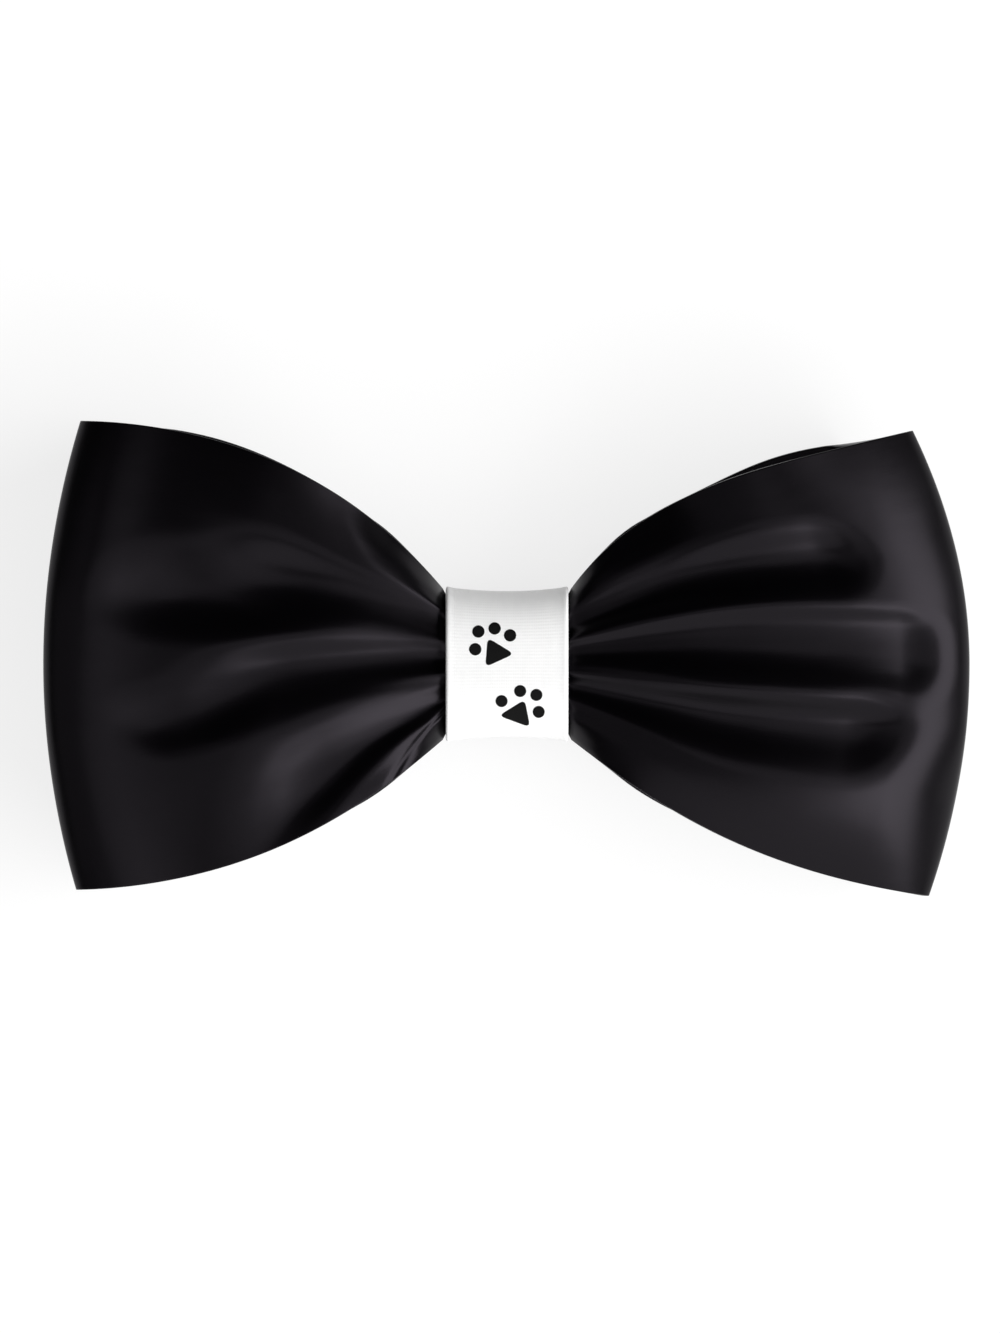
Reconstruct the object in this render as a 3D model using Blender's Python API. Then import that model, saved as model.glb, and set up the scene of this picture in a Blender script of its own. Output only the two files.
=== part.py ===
"""A slide-on pet bow tie. Two wings of looped satin meet inside the ribbon band that gathers them into the
knot, and an elastic loop behind the knot takes the pet's collar. The bow lies on its back: +X runs along
the wings, +Y up the bow and +Z out of its front. The surface it lies on is z = 0."""

import math

import bpy
import numpy as np

# Driving sizes in metres: the satin bow
WING_REACH = 0.0600  # from the knot's middle to the fold that ends a wing
WING_RISE = 0.0305  # from the knot's middle to the height of a wing's corners
WING_PROUD = 0.0018  # how far the wings' crown stands in front of the band
SATIN = 0.0013  # thickness of the lined satin
WAIST_DEPTH = 0.0120  # front to back of the gathers inside the band

# Driving sizes in metres: the ribbon band and the elastic loop
BAND_WIDTH = 0.0155
BAND_RISE = 0.0100  # from the knot's middle to the outside of the band's top
RIBBON = 0.0012
LOOP_WIDTH = 0.0120
LOOP_RISE = 0.0094  # from the knot's middle to the outside of the loop's top turn
ELASTIC = 0.0012
COLLAR_ROOM = 0.0050  # the gap that the collar's strap passes through
CLEARANCE = 0.0003

# Heights above the surface, from the back of the bow to its front
CORRIDOR_TOP = ELASTIC + COLLAR_ROOM
LOOP_FRONT = CORRIDOR_TOP + ELASTIC
BAND_BACK = LOOP_FRONT + CLEARANCE
WAIST_BACK = BAND_BACK + RIBBON + CLEARANCE
WAIST_FRONT = WAIST_BACK + WAIST_DEPTH
BAND_FRONT = WAIST_FRONT + CLEARANCE + RIBBON
WING_FRONT = BAND_FRONT + WING_PROUD
WAIST_MIDDLE = (WAIST_BACK + WAIST_FRONT) / 2

# Where the front and back panels end above and below the knot, each side of the waist's middle
WAIST_LIP = SATIN + 2 * CLEARANCE
# The gathers leave the band straight for one clearance, then flare out to the band's own height
WAIST_END = BAND_WIDTH / 2 + CLEARANCE
WING_START = WAIST_END + CLEARANCE

# One row for each section round a wing, from the knot's front over the fold to its back: name, place as a
# share of the wing's length, height of the middle, of the top edge and of the bottom edge, fullness
SECTIONS = {
    "right": (
        ("front knot", 0.00, WAIST_FRONT, WAIST_MIDDLE + WAIST_LIP, WAIST_MIDDLE + WAIST_LIP, 4.5),
        ("front gather", 0.08, 0.89 * WING_FRONT, 0.79 * WING_FRONT, 0.79 * WING_FRONT, 4.0),
        ("front swell", 0.28, 0.97 * WING_FRONT, 0.80 * WING_FRONT, 0.84 * WING_FRONT, 3.2),
        ("front crown", 0.55, 0.99 * WING_FRONT, 0.97 * WING_FRONT, 0.79 * WING_FRONT, 3.0),
        ("front shoulder", 0.82, 0.91 * WING_FRONT, 0.86 * WING_FRONT, 0.65 * WING_FRONT, 2.8),
        ("front brow", 0.97, 0.76 * WING_FRONT, 0.70 * WING_FRONT, 0.52 * WING_FRONT, 2.6),
        ("fold", 1.00, 0.67 * WING_FRONT, 0.62 * WING_FRONT, 0.44 * WING_FRONT, 2.6),
        ("back brow", 0.985, 0.59 * WING_FRONT, 0.55 * WING_FRONT, 0.37 * WING_FRONT, 2.6),
        ("back shoulder", 0.82, 1.15 * CORRIDOR_TOP, -0.06 * CORRIDOR_TOP, -0.06 * CORRIDOR_TOP, 2.6),
        ("back crown", 0.55, 1.15 * CORRIDOR_TOP, -0.06 * CORRIDOR_TOP, -0.06 * CORRIDOR_TOP, 2.6),
        ("back swell", 0.28, 1.25 * CORRIDOR_TOP, 0.30 * CORRIDOR_TOP, 0.30 * CORRIDOR_TOP, 2.6),
        ("back knot", 0.00, WAIST_BACK, WAIST_MIDDLE - WAIST_LIP, WAIST_MIDDLE - WAIST_LIP, 4.5),
    ),
    "left": (
        ("front knot", 0.00, WAIST_FRONT, WAIST_MIDDLE + WAIST_LIP, WAIST_MIDDLE + WAIST_LIP, 4.5),
        ("front gather", 0.08, 0.89 * WING_FRONT, 0.79 * WING_FRONT, 0.83 * WING_FRONT, 4.0),
        ("front swell", 0.28, 0.97 * WING_FRONT, 0.85 * WING_FRONT, 0.93 * WING_FRONT, 3.2),
        ("front crown", 0.55, 1.00 * WING_FRONT, 0.92 * WING_FRONT, 0.94 * WING_FRONT, 2.8),
        ("front shoulder", 0.82, 0.98 * WING_FRONT, 0.88 * WING_FRONT, 0.90 * WING_FRONT, 2.6),
        ("front brow", 0.975, 0.945 * WING_FRONT, 0.855 * WING_FRONT, 0.87 * WING_FRONT, 2.6),
        ("fold", 1.00, 0.875 * WING_FRONT, 0.785 * WING_FRONT, 0.80 * WING_FRONT, 2.6),
        ("back brow", 0.985, 0.79 * WING_FRONT, 0.70 * WING_FRONT, 0.71 * WING_FRONT, 2.6),
        ("back shoulder", 0.82, 1.15 * CORRIDOR_TOP, -0.06 * CORRIDOR_TOP, -0.06 * CORRIDOR_TOP, 2.6),
        ("back crown", 0.55, 1.15 * CORRIDOR_TOP, -0.06 * CORRIDOR_TOP, -0.06 * CORRIDOR_TOP, 2.6),
        ("back swell", 0.28, 1.25 * CORRIDOR_TOP, 0.30 * CORRIDOR_TOP, 0.30 * CORRIDOR_TOP, 2.6),
        ("back knot", 0.00, WAIST_BACK, WAIST_MIDDLE - WAIST_LIP, WAIST_MIDDLE - WAIST_LIP, 4.5),
    ),
}
FRONT_STEPS = 3  # columns between two sections of the front panel
BACK_STEPS = 2
WAIST_STEPS = 3  # columns of a wing's own half of the gathers inside the band
ROWS = 33  # points from a panel's bottom edge to its top edge
SWELL = 0.28  # share of the wing's length over which the back panel leaves the gathers' shape

# A wing's corners and how its edges leave the knot and meet the corner:
# corner's distance out as a share of WING_REACH, its height as a share of WING_RISE, two angles in degrees
EDGES = {
    ("right", "top"): (0.878, 0.997, 54.0, 14.0),
    ("right", "bottom"): (0.915, 0.993, 38.0, 7.8),
    ("left", "top"): (0.921, 1.036, 50.0, 1.5),
    ("left", "bottom"): (0.930, 0.962, 41.0, 1.7),
}
EDGE_HANDLES = (0.33, 0.40)  # how far each angle reaches along the edge, as shares of its length

# How far the back panel shows past the front panel's edge, as a share of WING_RISE
BACK_PEEK = {
    ("right", "top"): 0.036,
    ("right", "bottom"): 0.0,
    ("left", "top"): 0.012,
    ("left", "bottom"): 0.0,
}
PEEK_START = 0.40  # share of the wing's length where the back panel first shows

# The folds of the front panel, one row each: name, where it starts and ends as shares of the wing's length;
# height of its floor at the start, midway and at the end, from -1 at the panel's bottom edge to 1 at its top
# edge; width above the floor at the knot and further out, and width below it at the knot and further out, as
# shares of the panel's half height; how flat the floor stays above, 1 being not at all; share of the fold's
# length over which its rounded tip runs out; its depth at the knot as a share of its full depth, and that
# full depth as a share of WING_FRONT
FOLDS = {
    "right": (
        ("upper", 0.00, 0.82, 0.49, 0.55, 0.49, 0.30, 0.23, 0.17, 0.25, 1.0, 0.20, 0.50, 0.080),
        ("middle", 0.00, 0.98, 0.15, 0.09, 0.00, 0.18, 0.26, 0.19, 0.27, 2.0, 0.16, 0.40, 0.070),
        ("lower", 0.00, 0.92, -0.31, -0.33, -0.28, 0.22, 0.21, 0.19, 0.32, 1.0, 0.24, 0.40, 0.102),
    ),
    "left": (
        ("edge", 0.00, 0.36, 1.05, 1.10, 1.20, 0.10, 0.10, 0.40, 0.40, 1.0, 0.50, 0.60, 0.085),
        ("upper", 0.00, 0.70, 0.55, 0.50, 0.62, 0.20, 0.22, 0.23, 0.27, 1.0, 0.50, 0.35, 0.066),
        ("upper lobe", 0.18, 0.94, 0.36, 0.32, 0.28, 0.28, 0.34, 0.20, 0.25, 1.0, 0.50, 1.00, 0.082),
        ("middle", 0.00, 0.74, 0.12, -0.03, -0.12, 0.22, 0.24, 0.31, 0.42, 1.0, 0.50, 0.35, 0.080),
        ("middle lobe", 0.40, 0.88, -0.14, -0.27, -0.24, 0.20, 0.24, 0.15, 0.20, 1.0, 0.45, 1.00, 0.040),
        ("lower", 0.00, 0.70, -0.46, -0.76, -1.10, 0.28, 0.60, 0.20, 0.26, 1.0, 0.55, 0.42, 0.072),
        ("hem", 0.00, 0.24, -0.64, -0.90, -1.14, 0.05, 0.06, 0.05, 0.08, 1.0, 0.30, 0.35, 0.016),
    ),
}
FOLD_ROUND = 0.40  # share of a fold's slope that is rounded at its floor and at its crest
FOLD_OPENS = 0.45  # share of the wing's length where a fold has its full depth and width

BAND_FULLNESS = 3.0  # 2 would make the band's section an ellipse, and a high value a rectangle
BAND_PINCH = 0.055  # how much lower the band is at its middle than at its two edges
BAND_STEPS = 44
BAND_COLUMNS = 7
LOOP_TURN_STEPS = 8  # facets round each turn of the elastic loop


def smooth(share):
    share = np.clip(share, 0.0, 1.0)
    return share * share * (3.0 - 2.0 * share)


def spline(knots, values, at):
    """A natural cubic spline through one row of values at each knot."""
    count = len(knots)
    step = np.diff(knots)
    bend = np.eye(count)
    target = np.zeros_like(values)
    for i in range(1, count - 1):
        bend[i, i - 1 : i + 2] = step[i - 1], 2 * (step[i - 1] + step[i]), step[i]
        target[i] = 6 * ((values[i + 1] - values[i]) / step[i] - (values[i] - values[i - 1]) / step[i - 1])
    second = np.linalg.solve(bend, target)
    k = np.clip(np.searchsorted(knots, at) - 1, 0, count - 2)
    width = step[k][:, None]
    left = (knots[k + 1] - at)[:, None] / width
    right = (at - knots[k])[:, None] / width
    straight = left * values[k] + right * values[k + 1]
    return straight + ((left**3 - left) * second[k] + (right**3 - right) * second[k + 1]) * width**2 / 6


def section_columns(side):
    """The section's numbers at each column round a wing, its turn to the back, and whether it is in front."""
    rows = np.array([row[1:] for row in SECTIONS[side]])
    fold = [row[0] for row in SECTIONS[side]].index("fold")
    heights = rows[:, 1] / 2 + (rows[:, 2] + rows[:, 3]) / 4
    middles = np.stack([rows[:, 0] * (WING_REACH - WING_START), heights], axis=1)
    along = np.concatenate([[0.0], np.cumsum(np.linalg.norm(np.diff(middles, axis=0), axis=1))])
    stops = [along[0]]
    for i in range(1, len(rows)):
        steps = FRONT_STEPS if i <= fold else BACK_STEPS
        stops += [along[i - 1] + (along[i] - along[i - 1]) * (k + 1) / steps for k in range(steps)]
    columns = spline(along, rows, np.array(stops))
    columns[:, 0] = np.clip(columns[:, 0], 0.0, 1.0)
    turn = smooth((np.array(stops) - along[fold - 2]) / (along[fold + 2] - along[fold - 2]))
    in_front = np.array(stops) <= along[fold]
    return columns, turn, in_front


def edge_curve(side, edge, out):
    """The wing's top or bottom edge in XY, for places from 0 at the knot to 1 at the corner."""
    corner_out, corner_rise, lift_at_knot, lift_at_corner = EDGES[side, edge]
    start = np.array((WING_START, BAND_RISE))
    corner = np.array((corner_out * WING_REACH, corner_rise * WING_RISE))
    length = np.linalg.norm(corner - start)
    near, far = math.radians(lift_at_knot), math.radians(lift_at_corner)
    leave = start + EDGE_HANDLES[0] * length * np.array((math.cos(near), math.sin(near)))
    meet = corner - EDGE_HANDLES[1] * length * np.array((math.cos(far), math.sin(far)))
    t = out[:, None]
    return (1 - t) ** 3 * start + 3 * (1 - t) ** 2 * t * leave + 3 * (1 - t) * t**2 * meet + t**3 * corner


def fold_side(share):
    """A fold's side from 1 at its floor to 0 at its crest: straight, and rounded into both."""
    share = np.clip(share, 0.0, 1.0)
    turn = 2 * FOLD_ROUND * (1 - FOLD_ROUND)
    floor = 1 - share**2 / turn
    crest = (1 - share) ** 2 / turn
    straight = 1 - (share - FOLD_ROUND / 2) / (1 - FOLD_ROUND)
    return np.where(share < FOLD_ROUND, floor, np.where(share > 1 - FOLD_ROUND, crest, straight))


def fold_depth(side, out, height):
    """How deep the folds sink the front panel at each column and row."""
    total = np.zeros(np.broadcast(out, height).shape)
    opening = smooth(out / FOLD_OPENS)
    for row in FOLDS[side]:
        start, end, first, midway, last, over, above, under, below, flat, tip, at_knot, depth = row[1:]
        t = (out - start) / (end - start)
        floor = first * (1 - t) * (1 - 2 * t) + midway * 4 * t * (1 - t) + last * t * (2 * t - 1)
        aside = height - floor
        upper_side = np.clip(aside / (over + (above - over) * opening), 0.0, None) ** flat
        lower_side = -aside / (under + (below - under) * opening)
        nearest_end = np.minimum(t if start > 0 else 1.0, 1 - t)
        beyond = np.clip(1 - nearest_end / tip, 0.0, None)
        share = np.hypot(np.where(aside > 0, upper_side, lower_side), beyond)
        deep = depth * WING_FRONT * (at_knot + (1 - at_knot) * opening)
        total = total + deep * fold_side(share)
    return total


def wing(side):
    """The outside of one wing as a grid of points, and how far the folds sink each of them."""
    columns, turn, in_front = section_columns(side)
    out, middle, top_edge, bottom_edge, fullness = (columns[:, [k]] for k in range(5))
    turn = turn[:, None]
    height = np.linspace(-1.0, 1.0, ROWS)[None, :]
    top = edge_curve(side, "top", columns[:, 0])[:, None, :]
    bottom = edge_curve(side, "bottom", columns[:, 0])[:, None, :]
    upper = height > 0
    edge = np.where(upper, top_edge, bottom_edge)
    edge_x = np.where(upper, top[..., 0], bottom[..., 0])
    edge_y = np.where(upper, top[..., 1], bottom[..., 1])
    peek = np.where(upper, BACK_PEEK[side, "top"], BACK_PEEK[side, "bottom"]) * WING_RISE
    showing = np.sin(math.pi * np.clip((out - PEEK_START) / (1 - PEEK_START), 0.0, 1.0)) ** 2
    edge_y = edge_y + peek * showing * turn
    centre_x = WING_START + (WING_REACH - WING_START) * out
    x = centre_x + (edge_x - centre_x) * height**2
    y = edge_y * height
    crowned = edge + (middle - edge) * (1 - np.abs(height) ** fullness)
    # The back panel bridges the collar's way and lies down beyond it
    bridge = smooth((np.abs(y) - 0.8 * LOOP_RISE) / (1.2 * LOOP_RISE))
    lying = middle + (edge - middle) * bridge
    at_knot = smooth(out / SWELL)
    back = crowned + (lying - crowned) * at_knot
    z = np.clip(crowned + (back - crowned) * turn, 0.0, None)
    sunk = np.where(in_front[:, None], fold_depth(side, out, height), 0.0)
    if side == "left":
        x = -x
    return np.stack([x, y, z], axis=-1), sunk


def band_pinch(x):
    """The band's height at x as a share of its height at its two edges."""
    return 1.0 - BAND_PINCH * (1.0 - np.clip(np.abs(x) / (BAND_WIDTH / 2), 0.0, 1.0) ** 2)


def waist(start, end, start_sunk, end_sunk):
    """The gathers inside the band, from one wing's knot column to the other's, with a clearance midway."""
    reach = math.copysign(WAIST_END, start[0, 0])
    parting = CLEARANCE / 2 / WAIST_END
    half = np.linspace(1.0, parting, WAIST_STEPS)
    points, sunk = [], []
    for place in np.concatenate([half, -half[::-1]]):
        share = (1 - place) / 2
        rise = BAND_RISE * band_pinch(reach * place) - RIBBON - 2 * CLEARANCE
        column = start + (end - start) * share
        column[:, 0] = reach * place
        column[:, 1] = np.linspace(-rise, rise, ROWS)
        points.append(column)
        sunk.append(start_sunk + (end_sunk - start_sunk) * share)
    return np.array(points), np.array(sunk)


def wall_inside(outside, thickness):
    """The inner face of a wall: each point of the closed ring of columns moved in along its own normal."""
    along = np.roll(outside, -1, axis=0) - np.roll(outside, 1, axis=0)
    across = np.gradient(outside, axis=1)
    normal = np.cross(along, across)
    normal /= np.linalg.norm(normal, axis=-1, keepdims=True)
    return outside - thickness * normal


def plain_material(name, colour, roughness):
    material = bpy.data.materials.new(name)
    material.use_nodes = True
    shader = material.node_tree.nodes["Principled BSDF"]
    shader.inputs["Base Color"].default_value = (*colour, 1.0)
    shader.inputs["Roughness"].default_value = roughness
    shader.inputs["Metallic"].default_value = 0.0
    return material


def wall(name, outside, inside, closed, material):
    """A wall from two grids of points, with rims along its long edges: a ring, or a strip with two ends."""
    columns, rows = outside.shape[:2]
    points = np.concatenate([outside.reshape(-1, 3), inside.reshape(-1, 3)])
    inner = columns * rows
    last = rows - 1
    faces = []
    for i in range(columns if closed else columns - 1):
        here, there = i * rows, (i + 1) % columns * rows
        for j in range(last):
            faces.append((here + j, there + j, there + j + 1, here + j + 1))
            faces.append((inner + here + j, inner + here + j + 1, inner + there + j + 1, inner + there + j))
        faces.append((here, inner + here, inner + there, there))
        faces.append((here + last, there + last, inner + there + last, inner + here + last))
    if not closed:
        end = inner - rows
        for j in range(last):
            faces.append((j, j + 1, inner + j + 1, inner + j))
            faces.append((end + j, inner + end + j, inner + end + j + 1, end + j + 1))
    mesh = bpy.data.meshes.new(name)
    mesh.from_pydata(points.tolist(), [], faces)
    mesh.shade_smooth()
    mesh.set_sharp_from_angle(angle=math.radians(40))
    mesh.materials.append(material)
    piece = bpy.data.objects.new(name, mesh)
    bpy.context.scene.collection.objects.link(piece)
    return piece


def satin_wings():
    """Both wings, each with its own half of the gathers inside the band."""
    right, right_sunk = wing("right")
    left, left_sunk = wing("left")
    behind, behind_sunk = waist(right[-1], left[-1], right_sunk[-1], left_sunk[-1])
    front, front_sunk = waist(left[0], right[0], left_sunk[0], right_sunk[0])
    outside = np.concatenate([front[WAIST_STEPS:], right, behind, left[::-1], front[:WAIST_STEPS]])
    sunk = np.concatenate(
        [front_sunk[WAIST_STEPS:], right_sunk, behind_sunk, left_sunk[::-1], front_sunk[:WAIST_STEPS]]
    )
    inside = wall_inside(outside, SATIN)
    outside[..., 2] -= sunk
    inside[..., 2] -= sunk
    parting = len(outside) // 2
    for name, half in (("right_wing", slice(None, parting)), ("left_wing", slice(parting, None))):
        satin = plain_material("black satin", (0.008, 0.007, 0.009), 0.4)
        wall(name, outside[half], inside[half], False, satin)


def knot_band():
    """The ribbon round the knot: a rounded section, drawn in a little midway across its width."""

    def ring(inset):
        angles = np.arange(BAND_STEPS) * 2 * math.pi / BAND_STEPS
        x = np.linspace(-BAND_WIDTH / 2, BAND_WIDTH / 2, BAND_COLUMNS)[None, :]
        across = (np.sign(np.cos(angles)) * np.abs(np.cos(angles)) ** (2 / BAND_FULLNESS))[:, None]
        up = (np.sign(np.sin(angles)) * np.abs(np.sin(angles)) ** (2 / BAND_FULLNESS))[:, None]
        half_depth = (BAND_FRONT - BAND_BACK) / 2 - inset
        y = (BAND_RISE * band_pinch(x) - inset) * across
        z = (BAND_FRONT + BAND_BACK) / 2 + half_depth * up
        return np.stack(np.broadcast_arrays(x, y, z), axis=-1)

    ribbon = plain_material("white ribbon", (0.85, 0.85, 0.85), 0.6)
    return wall("knot_band", ring(0.0), ring(RIBBON), True, ribbon)


def collar_loop():
    """The flattened ring of elastic: its lower run lies on the surface, and its upper run backs the band."""

    def ring(inset):
        radius = LOOP_FRONT / 2 - inset
        half_run = LOOP_RISE - LOOP_FRONT / 2
        section = []
        for side in (1, -1):
            for k in range(LOOP_TURN_STEPS + 1):
                angle = side * (k / LOOP_TURN_STEPS - 0.5) * math.pi
                section.append((side * (half_run + radius * math.cos(angle)), radius * math.sin(angle)))
        edges = np.array((-LOOP_WIDTH / 2, LOOP_WIDTH / 2))
        y, z = np.array(section).T[:, :, None]
        return np.stack(np.broadcast_arrays(edges[None, :], y, z + LOOP_FRONT / 2), axis=-1)

    elastic = plain_material("black elastic", (0.02, 0.02, 0.022), 0.8)
    return wall("collar_loop", ring(0.0), ring(ELASTIC), True, elastic)


for old in list(bpy.data.objects):
    bpy.data.objects.remove(old)

satin_wings()
knot_band()
collar_loop()
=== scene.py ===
"""The looks of a slide-on pet bow tie: looped black satin wings, the white ribbon band that gathers them,
printed with two paw prints, and the elastic loop behind the knot. Metres; the bow lies on its back with +X
along the wings, +Y up the bow and +Z out of its front, and the surface it lies on is z = 0."""

import math

import bpy
import numpy as np
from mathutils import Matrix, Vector


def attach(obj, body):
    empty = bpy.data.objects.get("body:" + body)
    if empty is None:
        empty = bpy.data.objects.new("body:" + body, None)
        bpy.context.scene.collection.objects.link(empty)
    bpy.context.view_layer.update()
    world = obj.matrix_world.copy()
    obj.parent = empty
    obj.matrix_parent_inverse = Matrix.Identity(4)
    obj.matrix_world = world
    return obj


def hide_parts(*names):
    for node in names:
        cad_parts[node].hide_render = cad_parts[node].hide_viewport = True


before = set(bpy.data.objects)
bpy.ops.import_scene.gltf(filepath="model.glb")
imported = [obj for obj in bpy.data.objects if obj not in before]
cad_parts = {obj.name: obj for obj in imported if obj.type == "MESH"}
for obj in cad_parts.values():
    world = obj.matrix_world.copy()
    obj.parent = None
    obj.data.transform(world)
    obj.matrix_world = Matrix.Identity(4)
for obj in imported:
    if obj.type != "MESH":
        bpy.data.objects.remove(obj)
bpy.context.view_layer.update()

# Sizes of the frame in metres: the satin bow
WING_REACH = 0.0600  # from the knot's middle to the fold that ends a wing
WING_RISE = 0.0305  # from the knot's middle to the height of a wing's corners
WING_PROUD = 0.0018  # how far the wings' crown stands in front of the band
SATIN = 0.0013  # thickness of the lined satin
WAIST_DEPTH = 0.0120  # front to back of the gathers inside the band

# Sizes of the frame in metres: the ribbon band and the elastic loop
BAND_WIDTH = 0.0155
BAND_RISE = 0.0100  # from the knot's middle to the outside of the band's top
RIBBON = 0.0012
LOOP_WIDTH = 0.0120
LOOP_RISE = 0.0094  # from the knot's middle to the outside of the loop's top turn
ELASTIC = 0.0012
COLLAR_ROOM = 0.0050  # the gap that the collar's strap passes through
CLEARANCE = 0.0003
GATHERS_SLACK = 0.0001  # between the gathers and the inside of the band

# Heights above the surface, from the back of the bow to its front
CORRIDOR_TOP = ELASTIC + COLLAR_ROOM
LOOP_FRONT = CORRIDOR_TOP + ELASTIC
BAND_BACK = LOOP_FRONT + CLEARANCE
WAIST_BACK = BAND_BACK + RIBBON + CLEARANCE
WAIST_FRONT = WAIST_BACK + WAIST_DEPTH
BAND_FRONT = WAIST_FRONT + CLEARANCE + RIBBON
WING_FRONT = BAND_FRONT + WING_PROUD
WAIST_MIDDLE = (WAIST_BACK + WAIST_FRONT) / 2
WAIST_LIP = SATIN + 2 * CLEARANCE
WAIST_END = BAND_WIDTH / 2
WING_START = WAIST_END + 2 * CLEARANCE

# One row for each section round a wing, from the knot's front over the fold to its back: name, place as a
# share of the wing's length, height of the middle, of the top edge and of the bottom edge, fullness
SECTIONS = {
    "right": (
        ("front knot", 0.00, WAIST_FRONT, WAIST_MIDDLE + WAIST_LIP, WAIST_MIDDLE + WAIST_LIP, 4.5),
        ("front gather", 0.08, 0.89 * WING_FRONT, 0.79 * WING_FRONT, 0.79 * WING_FRONT, 4.0),
        ("front swell", 0.28, 0.97 * WING_FRONT, 0.80 * WING_FRONT, 0.84 * WING_FRONT, 3.2),
        ("front crown", 0.55, 0.99 * WING_FRONT, 0.97 * WING_FRONT, 0.79 * WING_FRONT, 3.0),
        ("front shoulder", 0.82, 0.91 * WING_FRONT, 0.86 * WING_FRONT, 0.65 * WING_FRONT, 2.8),
        ("front brow", 0.97, 0.76 * WING_FRONT, 0.70 * WING_FRONT, 0.52 * WING_FRONT, 2.6),
        ("fold", 1.00, 0.67 * WING_FRONT, 0.62 * WING_FRONT, 0.44 * WING_FRONT, 2.6),
        ("back brow", 0.985, 0.59 * WING_FRONT, 0.55 * WING_FRONT, 0.37 * WING_FRONT, 2.6),
        ("back shoulder", 0.82, 1.15 * CORRIDOR_TOP, -0.06 * CORRIDOR_TOP, -0.06 * CORRIDOR_TOP, 2.6),
        ("back crown", 0.55, 1.15 * CORRIDOR_TOP, -0.06 * CORRIDOR_TOP, -0.06 * CORRIDOR_TOP, 2.6),
        ("back swell", 0.28, 1.25 * CORRIDOR_TOP, 0.30 * CORRIDOR_TOP, 0.30 * CORRIDOR_TOP, 2.6),
        ("back knot", 0.00, WAIST_BACK, WAIST_MIDDLE - WAIST_LIP, WAIST_MIDDLE - WAIST_LIP, 4.5),
    ),
    "left": (
        ("front knot", 0.00, WAIST_FRONT, WAIST_MIDDLE + WAIST_LIP, WAIST_MIDDLE + WAIST_LIP, 4.5),
        ("front gather", 0.08, 0.89 * WING_FRONT, 0.79 * WING_FRONT, 0.83 * WING_FRONT, 4.0),
        ("front swell", 0.28, 0.97 * WING_FRONT, 0.85 * WING_FRONT, 0.93 * WING_FRONT, 3.2),
        ("front crown", 0.55, 1.00 * WING_FRONT, 0.92 * WING_FRONT, 0.94 * WING_FRONT, 2.8),
        ("front shoulder", 0.82, 0.98 * WING_FRONT, 0.88 * WING_FRONT, 0.90 * WING_FRONT, 2.6),
        ("front brow", 0.975, 0.945 * WING_FRONT, 0.855 * WING_FRONT, 0.87 * WING_FRONT, 2.6),
        ("fold", 1.00, 0.875 * WING_FRONT, 0.785 * WING_FRONT, 0.80 * WING_FRONT, 2.6),
        ("back brow", 0.985, 0.79 * WING_FRONT, 0.70 * WING_FRONT, 0.71 * WING_FRONT, 2.6),
        ("back shoulder", 0.82, 1.15 * CORRIDOR_TOP, -0.06 * CORRIDOR_TOP, -0.06 * CORRIDOR_TOP, 2.6),
        ("back crown", 0.55, 1.15 * CORRIDOR_TOP, -0.06 * CORRIDOR_TOP, -0.06 * CORRIDOR_TOP, 2.6),
        ("back swell", 0.28, 1.25 * CORRIDOR_TOP, 0.30 * CORRIDOR_TOP, 0.30 * CORRIDOR_TOP, 2.6),
        ("back knot", 0.00, WAIST_BACK, WAIST_MIDDLE - WAIST_LIP, WAIST_MIDDLE - WAIST_LIP, 4.5),
    ),
}
FRONT_STEPS = 20  # columns between two sections of the front panel
BACK_STEPS = 11
WAIST_STEPS = 8  # columns across the band
ROWS = 117  # points from a panel's bottom edge to its top edge
BORDER = 0.004  # share of a half height that the outermost row takes
TURN_SECTIONS = 2  # sections on each side of the fold over which a panel turns to the back
SWELL = 0.28  # share of the wing's length over which the back panel leaves the gathers' shape
BRIDGE_RISE = 0.8 * LOOP_RISE  # from the knot's middle to the end of the back panel's bridge over the loop
BRIDGE_FALL = 1.2 * LOOP_RISE  # distance over which it comes down to lie on the surface
RIM_ROWS = 4  # points round each rolled rim
EDGE_ROLL = 0.00015  # how far the rolled rim of the satin stands out

# A wing's corners and how its edges leave the knot and meet the corner:
# corner's distance out as a share of WING_REACH, its height as a share of WING_RISE, two angles in degrees
EDGES = {
    ("right", "top"): (0.878, 0.997, 54.0, 14.0),
    ("right", "bottom"): (0.915, 0.993, 38.0, 7.8),
    ("left", "top"): (0.921, 1.036, 50.0, 1.5),
    ("left", "bottom"): (0.930, 0.962, 41.0, 1.7),
}
EDGE_HANDLES = (0.33, 0.40)  # how far each angle reaches along the edge, as shares of its length

# How far the back panel shows past the front panel's edge, as a share of WING_RISE
BACK_PEEK = {
    ("right", "top"): 0.036,
    ("right", "bottom"): 0.0,
    ("left", "top"): 0.012,
    ("left", "bottom"): 0.0,
}
PEEK_START = 0.40  # share of the wing's length where the back panel first shows

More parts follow.
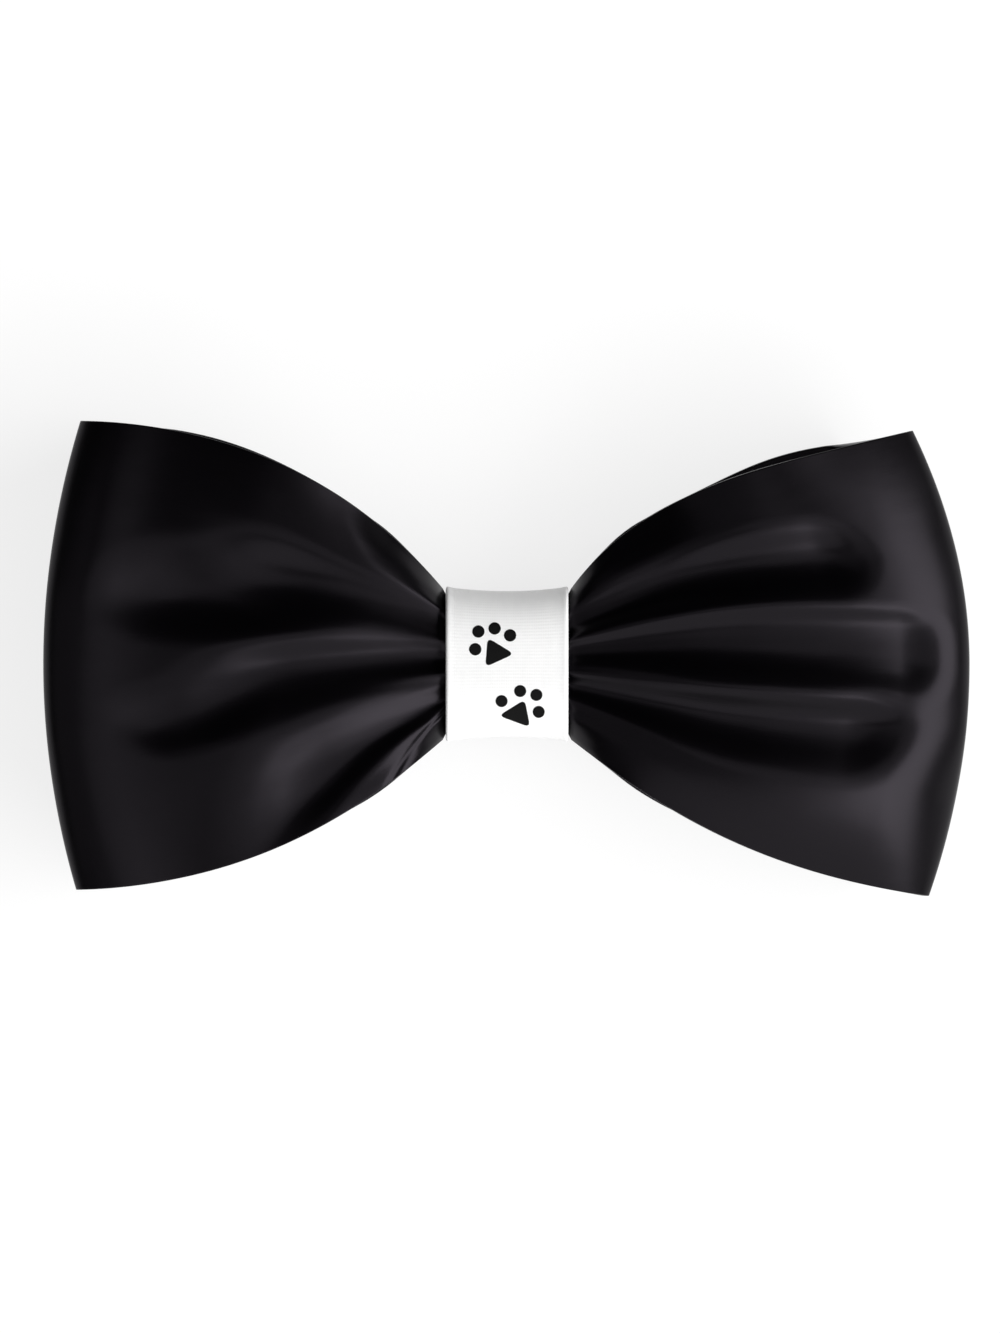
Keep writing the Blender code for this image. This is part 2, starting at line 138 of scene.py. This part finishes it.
# The folds of the front panel, one row each: name, where it starts and ends as shares of the wing's length;
# height of its floor at the start, midway and at the end, from -1 at the panel's bottom edge to 1 at its top
# edge; width above the floor at the knot and further out, and width below it at the knot and further out, as
# shares of the panel's half height; how flat the floor stays above, 1 being not at all; share of the fold's
# length over which its rounded tip runs out; its depth at the knot as a share of its full depth, and that
# full depth as a share of WING_FRONT
FOLDS = {
    "right": (
        ("upper", 0.00, 0.82, 0.49, 0.55, 0.49, 0.30, 0.23, 0.17, 0.25, 1.0, 0.20, 0.50, 0.080),
        ("middle", 0.00, 0.98, 0.15, 0.09, 0.00, 0.18, 0.26, 0.19, 0.27, 2.0, 0.16, 0.40, 0.070),
        ("lower", 0.00, 0.92, -0.31, -0.33, -0.28, 0.22, 0.21, 0.19, 0.32, 1.0, 0.24, 0.40, 0.102),
    ),
    "left": (
        ("edge", 0.00, 0.36, 1.05, 1.10, 1.20, 0.10, 0.10, 0.40, 0.40, 1.0, 0.50, 0.60, 0.085),
        ("upper", 0.00, 0.70, 0.55, 0.50, 0.62, 0.20, 0.22, 0.23, 0.27, 1.0, 0.50, 0.35, 0.066),
        ("upper lobe", 0.18, 0.94, 0.36, 0.32, 0.28, 0.28, 0.34, 0.20, 0.25, 1.0, 0.50, 1.00, 0.082),
        ("middle", 0.00, 0.74, 0.12, -0.03, -0.12, 0.22, 0.24, 0.31, 0.42, 1.0, 0.50, 0.35, 0.080),
        ("middle lobe", 0.40, 0.88, -0.14, -0.27, -0.24, 0.20, 0.24, 0.15, 0.20, 1.0, 0.45, 1.00, 0.040),
        ("lower", 0.00, 0.70, -0.46, -0.76, -1.10, 0.28, 0.60, 0.20, 0.26, 1.0, 0.55, 0.42, 0.072),
        ("hem", 0.00, 0.24, -0.64, -0.90, -1.14, 0.05, 0.06, 0.05, 0.08, 1.0, 0.30, 0.35, 0.016),
    ),
}
FOLD_ROUND = 0.40  # share of a fold's slope that is rounded at its floor and at its crest
FOLD_OPENS = 0.45  # share of the wing's length where a fold has its full depth and width

# Fine pleats that fan out from the knot: how many across a half height, their phase, depth in metres
PLEATS = ((6.3, 0.4, 0.00007), (9.7, 2.1, 0.00004), (14.1, 4.4, 0.00002))
PLEAT_REACH = 0.16  # share of the wing's length over which they fade

BAND_FULLNESS = 3.0  # 2 would make the band's section an ellipse, and a high value a rectangle
BAND_PINCH = 0.055  # how much lower the band is at its middle than at its two edges
BAND_STEPS = 220
BAND_COLUMNS = 49
SELVEDGE = 0.0007  # width of the ribbon's firmer edge
SELVEDGE_PROUD = 0.00005
SELVEDGE_EASE = 0.3 * SELVEDGE  # width of the step up to the selvedge
LOOP_TURN_STEPS = 28  # facets round each turn of the elastic loop
LOOP_RUN_STEPS = 24
LOOP_COLUMNS = 73
CORDS = 9  # ribs along the elastic
CORD_PROUD = 0.00010
RIM_ROLL = 0.0002  # how far the rolled rims of the ribbon and of the elastic stand out

# Paw prints on the band, in millimetres from the knot's middle: the middles of the toes, the toes' radius and
# the corners of the pad
MILLIMETRE = 0.001
PAWS = {
    "upper": (
        ((-3.7, 4.2), (-1.6, 4.6), (0.4, 3.7), (-4.1, 1.9)),
        0.80,
        ((-2.5, 3.4), (0.93, 1.3), (-2.8, -0.4)),
    ),
    "lower": (
        ((-0.7, -4.8), (1.7, -3.5), (3.8, -4.0), (4.1, -6.2)),
        0.78,
        ((2.3, -4.6), (3.0, -8.2), (-1.1, -6.7)),
    ),
}
TOE_STEPS = 32  # points round a toe
PAD_TURN_STEPS = 9  # points round a corner of the pad
PAD_SIDE_STEPS = 16  # points along a side of the pad
PAD_ROUND = 0.22  # how much of each side of a pad goes into its rounded corners
INK = 0.00004  # how far the print stands off the ribbon
INK_EDGE = 0.6 * INK  # the same at the print's own edge
INK_RINGS = (0.96, 0.8, 0.64, 0.48, 0.32, 0.16)  # rings of a patch of ink, as shares of its outline
INK_CREASE = 50  # degrees; sharper edges of a patch aren't smoothed

# Grain of the cloths: lengths along and across the strip in metres
SATIN_THREADS = (0.0030, 0.00022)
SATIN_SLACK = (0.016, 0.009)
RIBBON_UNEVEN = (0.004, 0.0015)
ELASTIC_FUZZ = (0.0004, 0.0003)
RIBBON_WEFT = 0.00042  # distance between the ribs that run across the ribbon
RIBBON_WARP = 0.00030  # distance between the ribs that run along it
ELASTIC_PICKS = 0.00055  # distance between the fine ribs that run across the elastic
NOISE_DETAIL = 2.0
INK_GRAIN = 2600.0  # grains of the ink in a metre

FLOOR_REACH = 3.0

# The softboxes: name, azimuth in degrees from +X towards +Y, elevation above the floor in degrees, distance,
# width and height in metres, power in watts
LIGHTS = (
    ("key", -14, 40, 1.6, 2.3, 1.2, 43.0),
    ("lower fill", -84, 32, 1.6, 1.9, 1.6, 12.0),
    ("left fill", 190, 50, 2.0, 1.6, 2.4, 4.0),
    ("overhead", -42, 76, 2.4, 1.5, 1.5, 6.0),
)
SKY = 0.01  # strength of the even light from all round

# The camera looks straight down on the bow: the picture's height in pixels, metres on the bow for each pixel,
# the picture's middle from the knot's in pixels, and how high the camera is
PICTURE_HEIGHT = 1333
PIXEL = 0.00012945
PICTURE_MIDDLE = (-7.0, -2.5)
CAMERA_HEIGHT = 2.0
SHARP_HEIGHT = 0.02  # height above the surface at which PIXEL holds
CAMERA_SIGHT = 10.0  # how far the camera sees


def smooth(share):
    """A step from 0 to 1 that leaves and arrives level."""
    share = np.clip(share, 0.0, 1.0)
    return share * share * (3.0 - 2.0 * share)


def spline(knots, values, at):
    """A natural cubic spline through one row of values at each knot."""
    count = len(knots)
    step = np.diff(knots)
    bend = np.eye(count)
    target = np.zeros_like(values)
    for i in range(1, count - 1):
        bend[i, i - 1 : i + 2] = step[i - 1], 2 * (step[i - 1] + step[i]), step[i]
        target[i] = 6 * ((values[i + 1] - values[i]) / step[i] - (values[i] - values[i - 1]) / step[i - 1])
    second = np.linalg.solve(bend, target)
    k = np.clip(np.searchsorted(knots, at) - 1, 0, count - 2)
    width = step[k][:, None]
    left = (knots[k + 1] - at)[:, None] / width
    right = (at - knots[k])[:, None] / width
    straight = left * values[k] + right * values[k + 1]
    return straight + ((left**3 - left) * second[k] + (right**3 - right) * second[k + 1]) * width**2 / 6


def section_columns(side):
    """Each column round a wing: its section's numbers, its turn to the back, and whether it is in front."""
    rows = np.array([row[1:] for row in SECTIONS[side]])
    fold = [row[0] for row in SECTIONS[side]].index("fold")
    heights = rows[:, 1] / 2 + (rows[:, 2] + rows[:, 3]) / 4
    middles = np.stack([rows[:, 0] * (WING_REACH - WING_START), heights], axis=1)
    along = np.concatenate([[0.0], np.cumsum(np.linalg.norm(np.diff(middles, axis=0), axis=1))])
    stops = [along[0]]
    for i in range(1, len(rows)):
        steps = FRONT_STEPS if i <= fold else BACK_STEPS
        stops += [along[i - 1] + (along[i] - along[i - 1]) * (k + 1) / steps for k in range(steps)]
    columns = spline(along, rows, np.array(stops))
    columns[:, 0] = np.clip(columns[:, 0], 0.0, 1.0)
    turn_start, turn_end = along[fold - TURN_SECTIONS], along[fold + TURN_SECTIONS]
    turn = smooth((np.array(stops) - turn_start) / (turn_end - turn_start))
    in_front = np.array(stops) <= along[fold]
    return columns, turn, in_front


def edge_curve(side, edge, out):
    """The wing's outline in XY along one edge, for places from 0 at the knot to 1 at the corner."""
    corner_out, corner_rise, lift_at_knot, lift_at_corner = EDGES[side, edge]
    start = np.array((WING_START, BAND_RISE))
    corner = np.array((corner_out * WING_REACH, corner_rise * WING_RISE))
    length = np.linalg.norm(corner - start)
    near, far = math.radians(lift_at_knot), math.radians(lift_at_corner)
    leave = start + EDGE_HANDLES[0] * length * np.array((math.cos(near), math.sin(near)))
    meet = corner - EDGE_HANDLES[1] * length * np.array((math.cos(far), math.sin(far)))
    t = out[:, None]
    return (1 - t) ** 3 * start + 3 * (1 - t) ** 2 * t * leave + 3 * (1 - t) * t**2 * meet + t**3 * corner


def fold_side(share):
    """A fold's side from 1 at its floor to 0 at its crest: straight, and rounded into both."""
    share = np.clip(share, 0.0, 1.0)
    turn = 2 * FOLD_ROUND * (1 - FOLD_ROUND)
    floor = 1 - share**2 / turn
    crest = (1 - share) ** 2 / turn
    straight = 1 - (share - FOLD_ROUND / 2) / (1 - FOLD_ROUND)
    return np.where(share < FOLD_ROUND, floor, np.where(share > 1 - FOLD_ROUND, crest, straight))


def fold_depth(side, out, height):
    """How deep the folds and the fine pleats sink the front panel at each column and row."""
    total = np.zeros(np.broadcast(out, height).shape)
    opening = smooth(out / FOLD_OPENS)
    for row in FOLDS[side]:
        start, end, first, midway, last, over, above, under, below, flat, tip, at_knot, depth = row[1:]
        t = (out - start) / (end - start)
        floor = first * (1 - t) * (1 - 2 * t) + midway * 4 * t * (1 - t) + last * t * (2 * t - 1)
        aside = height - floor
        upper_side = np.clip(aside / (over + (above - over) * opening), 0.0, None) ** flat
        lower_side = -aside / (under + (below - under) * opening)
        nearest_end = np.minimum(t if start > 0 else 1.0, 1 - t)
        beyond = np.clip(1 - nearest_end / tip, 0.0, None)
        share = np.hypot(np.where(aside > 0, upper_side, lower_side), beyond)
        deep = depth * WING_FRONT * (at_knot + (1 - at_knot) * opening)
        total = total + deep * fold_side(share)
    fade = np.exp(-out / PLEAT_REACH)
    for count, phase, depth in PLEATS:
        total = total + depth * fade * (1 + np.sin(math.pi * count * height + phase))
    return total


def wing(side):
    """The outside of one wing as a grid of points, and how far the folds sink each of them."""
    columns, turn, in_front = section_columns(side)
    out, middle, top_edge, bottom_edge, fullness = (columns[:, [k]] for k in range(5))
    turn = turn[:, None]
    height = np.concatenate([[-1.0], np.linspace(-1.0 + BORDER, 1.0 - BORDER, ROWS - 2), [1.0]])[None, :]
    top = edge_curve(side, "top", columns[:, 0])[:, None, :]
    bottom = edge_curve(side, "bottom", columns[:, 0])[:, None, :]
    upper = height > 0
    edge = np.where(upper, top_edge, bottom_edge)
    edge_x = np.where(upper, top[..., 0], bottom[..., 0])
    edge_y = np.where(upper, top[..., 1], bottom[..., 1]) - EDGE_ROLL
    peek = np.where(upper, BACK_PEEK[side, "top"], BACK_PEEK[side, "bottom"]) * WING_RISE
    showing = np.sin(math.pi * np.clip((out - PEEK_START) / (1 - PEEK_START), 0.0, 1.0)) ** 2
    edge_y = edge_y + peek * showing * turn
    centre_x = WING_START + (WING_REACH - WING_START) * out
    x = centre_x + (edge_x - centre_x) * height**2
    y = edge_y * height
    crowned = edge + (middle - edge) * (1 - np.abs(height) ** fullness)
    # The back panel bridges the collar's way and lies down beyond it
    bridge = smooth((np.abs(y) - BRIDGE_RISE) / BRIDGE_FALL)
    lying = middle + (edge - middle) * bridge
    at_knot = smooth(out / SWELL)
    back = crowned + (lying - crowned) * at_knot
    z = np.clip(crowned + (back - crowned) * turn, 0.0, None)
    sunk = np.where(in_front[:, None], fold_depth(side, out, height), 0.0)
    if side == "left":
        x = -x
    return np.stack([x, y, z], axis=-1), sunk


def band_pinch(x):
    """The band's height at x as a share of its height at its two edges."""
    return 1.0 - BAND_PINCH * (1.0 - np.clip(np.abs(x) / (BAND_WIDTH / 2), 0.0, 1.0) ** 2)


def waist(start, end, start_sunk, end_sunk):
    """The gathers inside the band, from one wing's knot column to the other's."""
    reach = math.copysign(WAIST_END, start[0, 0])
    points, sunk = [], []
    for k in range(WAIST_STEPS + 1):
        share = k / WAIST_STEPS
        x = reach * (1 - 2 * share)
        rise = BAND_RISE * band_pinch(x) - RIBBON - GATHERS_SLACK
        column = start + (end - start) * share
        column[:, 0] = x
        column[:, 1] = np.linspace(-rise, rise, ROWS)
        points.append(column)
        sunk.append(start_sunk + (end_sunk - start_sunk) * share)
    return np.array(points), np.array(sunk)


def wall_inside(outside, thickness):
    """The inner face of a wall: each point of the closed ring of columns moved in along its own normal."""
    along = np.roll(outside, -1, axis=0) - np.roll(outside, 1, axis=0)
    across = np.gradient(outside, axis=1)
    normal = np.cross(along, across)
    normal /= np.linalg.norm(normal, axis=-1, keepdims=True)
    return outside - thickness * normal


def rim(outside, inside, beyond):
    """Points round the rim from the outer face to the inner face, bulging by the vector beyond."""
    angles = np.arange(1, RIM_ROWS + 1)[:, None] * math.pi / (RIM_ROWS + 1)
    middle, half = (outside + inside)[:, None] / 2, (outside - inside)[:, None] / 2
    return middle + half * np.cos(angles) + beyond[:, None] * np.sin(angles)


def sleeve(name, nodes, outside, inside, roll, material):
    """A closed ring of cloth from the grids of its two faces, with rolled rims and a cloth map in metres, and
    its length round the middle."""
    low = outside[:, 0] - outside[:, 1]
    high = outside[:, -1] - outside[:, -2]
    low *= roll / np.linalg.norm(low, axis=-1, keepdims=True)
    high *= roll / np.linalg.norm(high, axis=-1, keepdims=True)
    top = rim(outside[:, -1], inside[:, -1], high)
    bottom = rim(outside[:, 0], inside[:, 0], low)
    grid = np.concatenate([outside, top, inside[:, ::-1], bottom[:, ::-1]], axis=1)
    columns, rows = grid.shape[:2]

    middle = grid[:, outside.shape[1] // 2]
    widest = grid[np.argmax(np.ptp(grid[..., 1], axis=1))]
    along = np.concatenate([[0.0], np.cumsum(np.linalg.norm(np.roll(middle, -1, axis=0) - middle, axis=1))])
    across = np.concatenate([[0.0], np.cumsum(np.linalg.norm(np.roll(widest, -1, axis=0) - widest, axis=1))])

    i, j = np.meshgrid(np.arange(columns), np.arange(rows), indexing="ij")
    corners = np.stack([i, i + 1, i + 1, i], axis=-1), np.stack([j, j, j + 1, j + 1], axis=-1)
    faces = (corners[0] % columns * rows + corners[1] % rows).reshape(-1, 4)
    mesh = bpy.data.meshes.new(name)
    mesh.from_pydata(grid.reshape(-1, 3).tolist(), [], faces.tolist())
    cloth_map = mesh.uv_layers.new(name="cloth")
    places = np.stack([along[corners[0]], across[corners[1]]], axis=-1)
    cloth_map.data.foreach_set("uv", places.astype(np.float32).ravel())
    mesh.shade_smooth()
    mesh.materials.append(material)
    piece = bpy.data.objects.new(name, mesh)
    bpy.context.scene.collection.objects.link(piece)
    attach(piece, "root")
    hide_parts(*nodes)
    return piece, along[-1]


def bow(material):
    """Both wings and the gathers between them, as one looped strip."""
    right, right_sunk = wing("right")
    left, left_sunk = wing("left")
    behind, behind_sunk = waist(right[-1], left[-1], right_sunk[-1], left_sunk[-1])
    front, front_sunk = waist(left[0], right[0], left_sunk[0], right_sunk[0])
    outside = np.concatenate([right, behind, left[::-1], front])
    sunk = np.concatenate([right_sunk, behind_sunk, left_sunk[::-1], front_sunk])
    inside = wall_inside(outside, SATIN)
    outside[..., 2] -= sunk
    inside[..., 2] -= sunk
    wings = ("right_wing", "left_wing")
    piece, length = sleeve("satin_bow", wings, outside, inside, EDGE_ROLL, material)


def band_ring(inset, outer):
    """One face of the ribbon round the knot, drawn in a little midway across its width."""
    angles = np.arange(BAND_STEPS) * 2 * math.pi / BAND_STEPS
    x = np.linspace(-BAND_WIDTH / 2, BAND_WIDTH / 2, BAND_COLUMNS)[None, :]
    across = (np.sign(np.cos(angles)) * np.abs(np.cos(angles)) ** (2 / BAND_FULLNESS))[:, None]
    up = (np.sign(np.sin(angles)) * np.abs(np.sin(angles)) ** (2 / BAND_FULLNESS))[:, None]
    into_selvedge = np.abs(x) - (BAND_WIDTH / 2 - SELVEDGE)
    proud = SELVEDGE_PROUD * smooth(into_selvedge / SELVEDGE_EASE) if outer else 0.0
    half_depth = (BAND_FRONT - BAND_BACK) / 2 - inset + proud
    y = (BAND_RISE * band_pinch(x) - inset + proud) * across
    z = (BAND_FRONT + BAND_BACK) / 2 + half_depth * up
    return np.stack(np.broadcast_arrays(x, y, z), axis=-1)


def band(material):
    outside = band_ring(0.0, True)
    inside = band_ring(RIBBON, False)
    sleeve("ribbon_band", ("knot_band",), outside, inside, RIM_ROLL, material)


def loop_ring(inset, outer):
    """One face of the flattened ring of elastic, with its cords as ribs along it."""
    radius = LOOP_FRONT / 2 - inset
    half_run = LOOP_RISE - LOOP_FRONT / 2
    section = []
    for side in (1, -1):
        for k in range(LOOP_TURN_STEPS + 1):
            angle = side * (k / LOOP_TURN_STEPS - 0.5) * math.pi
            out_y, out_z = side * math.cos(angle), math.sin(angle)
            section.append((side * half_run + radius * out_y, radius * out_z, out_y, out_z))
        for k in range(1, LOOP_RUN_STEPS):
            section.append((side * half_run * (1 - 2 * k / LOOP_RUN_STEPS), side * radius, 0.0, side))
    x = np.linspace(-LOOP_WIDTH / 2, LOOP_WIDTH / 2, LOOP_COLUMNS)[None, :]
    y, z, out_y, out_z = np.array(section).T[:, :, None]
    rib = CORD_PROUD * (np.abs(np.sin(math.pi * CORDS * (x / LOOP_WIDTH + 0.5))) - 1.0)
    rib = rib if outer else -rib
    return np.stack(np.broadcast_arrays(x, y + rib * out_y, z + rib * out_z + LOOP_FRONT / 2), axis=-1)


def collar_loop(material):
    outside = loop_ring(0.0, True)
    inside = loop_ring(ELASTIC, False)
    sleeve("elastic_loop", ("collar_loop",), outside, inside, RIM_ROLL, material)


def band_front(x, y):
    """Height of the band's front face at points in XY."""
    share = np.clip(np.abs(y) / (BAND_RISE * band_pinch(x)), 0.0, 1.0)
    half_depth = (BAND_FRONT - BAND_BACK) / 2
    return (BAND_FRONT + BAND_BACK) / 2 + half_depth * (1 - share**BAND_FULLNESS) ** (1 / BAND_FULLNESS)


def round_outline(middle, radius):
    angles = np.arange(TOE_STEPS) * 2 * math.pi / TOE_STEPS
    return np.array(middle) + radius * np.stack([np.cos(angles), np.sin(angles)], axis=-1)


def pad_outline(corners):
    """A triangle with rounded corners."""
    corners = np.array(corners)
    points = []
    for k in range(3):
        corner, following = corners[k], corners[(k + 1) % 3]
        before = corner + (corners[k - 1] - corner) * PAD_ROUND
        after = corner + (following - corner) * PAD_ROUND
        for t in np.linspace(0.0, 1.0, PAD_TURN_STEPS):
            points.append((1 - t) ** 2 * before + 2 * t * (1 - t) * corner + t**2 * after)
        side_end = following + (corner - following) * PAD_ROUND
        for t in np.linspace(0.0, 1.0, PAD_SIDE_STEPS)[1:-1]:
            points.append(after + (side_end - after) * t)
    return np.array(points)


def paw_print(name, toes, toe_radius, pad, material):
    """One paw print: thin closed patches of ink that follow the band's front."""
    points, faces = [], []
    outlines = [round_outline(toe, toe_radius) for toe in toes] + [pad_outline(pad)]
    for outline in outlines:
        x, y = outline.T
        if np.dot(x, np.roll(y, -1)) < np.dot(y, np.roll(x, -1)):
            outline = outline[::-1]
        outline = outline * MILLIMETRE
        middle = outline.mean(axis=0)
        count = len(outline)
        rings = [(1.0, -INK), (1.0, INK_EDGE)] + [(share, INK) for share in INK_RINGS]
        start = len(points)
        for share, lift in rings:
            ring = middle + (outline - middle) * share
            points += np.column_stack([ring, band_front(ring[:, 0], ring[:, 1]) + lift]).tolist()
        for step in range(len(rings) - 1):
            here = start + step * count
            for k in range(count):
                n = (k + 1) % count
                faces.append((here + k, here + n, here + count + n, here + count + k))
        faces.append([start + (len(rings) - 1) * count + k for k in range(count)])
        faces.append([start + k for k in reversed(range(count))])
    mesh = bpy.data.meshes.new(name)
    mesh.from_pydata(points, [], faces)
    mesh.shade_smooth()
    mesh.set_sharp_from_angle(angle=math.radians(INK_CREASE))
    mesh.materials.append(material)
    piece = bpy.data.objects.new(name, mesh)
    bpy.context.scene.collection.objects.link(piece)
    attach(piece, "root")


def cloth_material(name, roughness, specular, tint=(1.0, 1.0, 1.0), sheen=0.0):
    """A new material and its shader, with the settings that are the same all over it."""
    material = bpy.data.materials.new(name)
    material.use_nodes = True
    shader = material.node_tree.nodes["Principled BSDF"]
    shader.inputs["Roughness"].default_value = roughness
    shader.inputs["Specular IOR Level"].default_value = specular
    shader.inputs["Specular Tint"].default_value = (*tint, 1.0)
    shader.inputs["Sheen Weight"].default_value = sheen
    return material, material.node_tree, shader


def add(tree, kind, **settings):
    node = tree.nodes.new(kind)
    for key, value in settings.items():
        setattr(node, key, value)
    return node


def cloth_noise(tree, grain):
    """Noise over the cloth map with grains of these two lengths along and across the strip."""
    cloth = add(tree, "ShaderNodeUVMap", uv_map="cloth")
    scale = add(tree, "ShaderNodeMapping")
    scale.inputs["Scale"].default_value = (1 / grain[0], 1 / grain[1], 1.0)
    noise = add(tree, "ShaderNodeTexNoise")
    noise.inputs["Scale"].default_value = 1.0
    noise.inputs["Detail"].default_value = NOISE_DETAIL
    tree.links.new(cloth.outputs["UV"], scale.inputs["Vector"])
    tree.links.new(scale.outputs["Vector"], noise.inputs["Vector"])
    return noise.outputs["Fac"]


def ribs(tree, axis, spacing):
    """Even ribs over the cloth map, this far apart along its axis X or Y."""
    cloth = add(tree, "ShaderNodeUVMap", uv_map="cloth")
    wave = add(tree, "ShaderNodeTexWave", wave_type="BANDS", bands_direction=axis)
    wave.inputs["Scale"].default_value = math.pi / 10 / spacing
    wave.inputs["Distortion"].default_value = 0.0
    tree.links.new(cloth.outputs["UV"], wave.inputs["Vector"])
    return wave.outputs["Fac"]


def mixed(tree, share, low, high):
    """A colour between two, by a share from the cloth."""
    ramp = add(tree, "ShaderNodeValToRGB")
    ramp.color_ramp.elements[0].color = (*low, 1.0)
    ramp.color_ramp.elements[1].color = (*high, 1.0)
    tree.links.new(share, ramp.inputs["Fac"])
    return ramp.outputs["Color"]


def ranged(tree, share, low, high):
    """A number between two, by a share from the cloth."""
    span = add(tree, "ShaderNodeMapRange")
    span.inputs["To Min"].default_value = low
    span.inputs["To Max"].default_value = high
    tree.links.new(share, span.inputs["Value"])
    return span.outputs["Result"]


def raised(tree, shader, heights):
    """Bumps from rows of (height from 0 to 1, its depth in metres), each on the one before."""
    below = None
    for height, depth in heights:
        bump = add(tree, "ShaderNodeBump")
        bump.inputs["Strength"].default_value = 1.0
        bump.inputs["Distance"].default_value = depth
        tree.links.new(height, bump.inputs["Height"])
        if below:
            tree.links.new(below, bump.inputs["Normal"])
        below = bump.outputs["Normal"]
    tree.links.new(below, shader.inputs["Normal"])


def satin():
    material, tree, shader = cloth_material("black satin", 0.40, 0.17, tint=(0.95, 0.86, 1.0))
    threads = cloth_noise(tree, SATIN_THREADS)
    slack = cloth_noise(tree, SATIN_SLACK)
    black = mixed(tree, threads, (0.0004, 0.0003, 0.0005), (0.0010, 0.0008, 0.0012))
    tree.links.new(black, shader.inputs["Base Color"])
    tree.links.new(ranged(tree, slack, 0.27, 0.33), shader.inputs["Roughness"])
    raised(tree, shader, [(threads, 0.000006), (slack, 0.00008)])
    return material


def ribbon():
    material, tree, shader = cloth_material("white ribbon", 0.62, 0.30, sheen=0.05)
    weft = ribs(tree, "X", RIBBON_WEFT)
    warp = ribs(tree, "Y", RIBBON_WARP)
    uneven = cloth_noise(tree, RIBBON_UNEVEN)
    white = mixed(tree, uneven, (0.84, 0.84, 0.84), (0.90, 0.90, 0.895))
    tree.links.new(white, shader.inputs["Base Color"])
    tree.links.new(ranged(tree, uneven, 0.55, 0.68), shader.inputs["Roughness"])
    raised(tree, shader, [(weft, 0.000012), (warp, 0.000008), (uneven, 0.00002)])
    return material


def elastic():
    material, tree, shader = cloth_material("black elastic", 0.75, 0.30, sheen=0.10)
    picks = ribs(tree, "X", ELASTIC_PICKS)
    fuzz = cloth_noise(tree, ELASTIC_FUZZ)
    black = mixed(tree, picks, (0.006, 0.006, 0.007), (0.018, 0.018, 0.020))
    tree.links.new(black, shader.inputs["Base Color"])
    tree.links.new(ranged(tree, fuzz, 0.65, 0.85), shader.inputs["Roughness"])
    raised(tree, shader, [(picks, 0.00008), (fuzz, 0.00004)])
    return material


def ink():
    material, tree, shader = cloth_material("black print", 0.70, 0.10)
    spot = add(tree, "ShaderNodeTexCoord")
    noise = add(tree, "ShaderNodeTexNoise")
    noise.inputs["Scale"].default_value = INK_GRAIN
    tree.links.new(spot.outputs["Object"], noise.inputs["Vector"])
    grain = noise.outputs["Fac"]
    black = mixed(tree, grain, (0.0015, 0.0015, 0.0015), (0.004, 0.004, 0.004))
    tree.links.new(black, shader.inputs["Base Color"])
    tree.links.new(ranged(tree, grain, 0.5, 0.7), shader.inputs["Roughness"])
    raised(tree, shader, [(grain, 0.00002)])
    return material


def pale_floor():
    mesh = bpy.data.meshes.new("floor")
    corners = [(x * FLOOR_REACH, y * FLOOR_REACH, 0) for x, y in ((-1, -1), (1, -1), (1, 1), (-1, 1))]
    mesh.from_pydata(corners, [], [(0, 1, 2, 3)])
    material, _, shader = cloth_material("pale floor", 0.9, 0.0)
    shader.inputs["Base Color"].default_value = (0.22, 0.22, 0.22, 1.0)
    shader.inputs["Emission Color"].default_value = (1.0, 1.0, 1.0, 1.0)
    shader.inputs["Emission Strength"].default_value = 0.80
    mesh.materials.append(material)
    floor = bpy.data.objects.new("floor", mesh)
    bpy.context.scene.collection.objects.link(floor)


def soft_light(name, azimuth, elevation, distance, width, height, watts):
    """A softbox that faces the bow."""
    turn, lift = math.radians(azimuth), math.radians(elevation)
    towards = Vector((math.cos(turn) * math.cos(lift), math.sin(turn) * math.cos(lift), math.sin(lift)))
    light = bpy.data.lights.new(name, "AREA")
    light.shape = "RECTANGLE"
    light.size = width
    light.size_y = height
    light.energy = watts
    lamp = bpy.data.objects.new(name, light)
    lamp.location = towards * distance
    lamp.rotation_mode = "QUATERNION"
    lamp.rotation_quaternion = towards.to_track_quat("Z", "Y")
    bpy.context.scene.collection.objects.link(lamp)


def studio():
    for light in LIGHTS:
        soft_light(*light)
    world = bpy.data.worlds.new("studio")
    world.use_nodes = True
    world.node_tree.nodes["Background"].inputs["Color"].default_value = (1.0, 1.0, 1.0, 1.0)
    world.node_tree.nodes["Background"].inputs["Strength"].default_value = SKY
    bpy.context.scene.world = world
    bpy.context.scene.view_settings.view_transform = "Standard"


def overhead_camera():
    lens = bpy.data.cameras.new("camera")
    lens.lens = lens.sensor_width * (CAMERA_HEIGHT - SHARP_HEIGHT) / (PICTURE_HEIGHT * PIXEL)
    lens.clip_end = CAMERA_SIGHT
    camera = bpy.data.objects.new("camera", lens)
    camera.location = (PICTURE_MIDDLE[0] * PIXEL, PICTURE_MIDDLE[1] * PIXEL, CAMERA_HEIGHT)
    bpy.context.scene.collection.objects.link(camera)
    bpy.context.scene.camera = camera


pale_floor()
studio()
overhead_camera()
bow(satin())
band(ribbon())
collar_loop(elastic())
print_ink = ink()
for place, (toes, toe_radius, pad) in PAWS.items():
    paw_print(f"paw_print_{place}", toes, toe_radius, pad, print_ink)
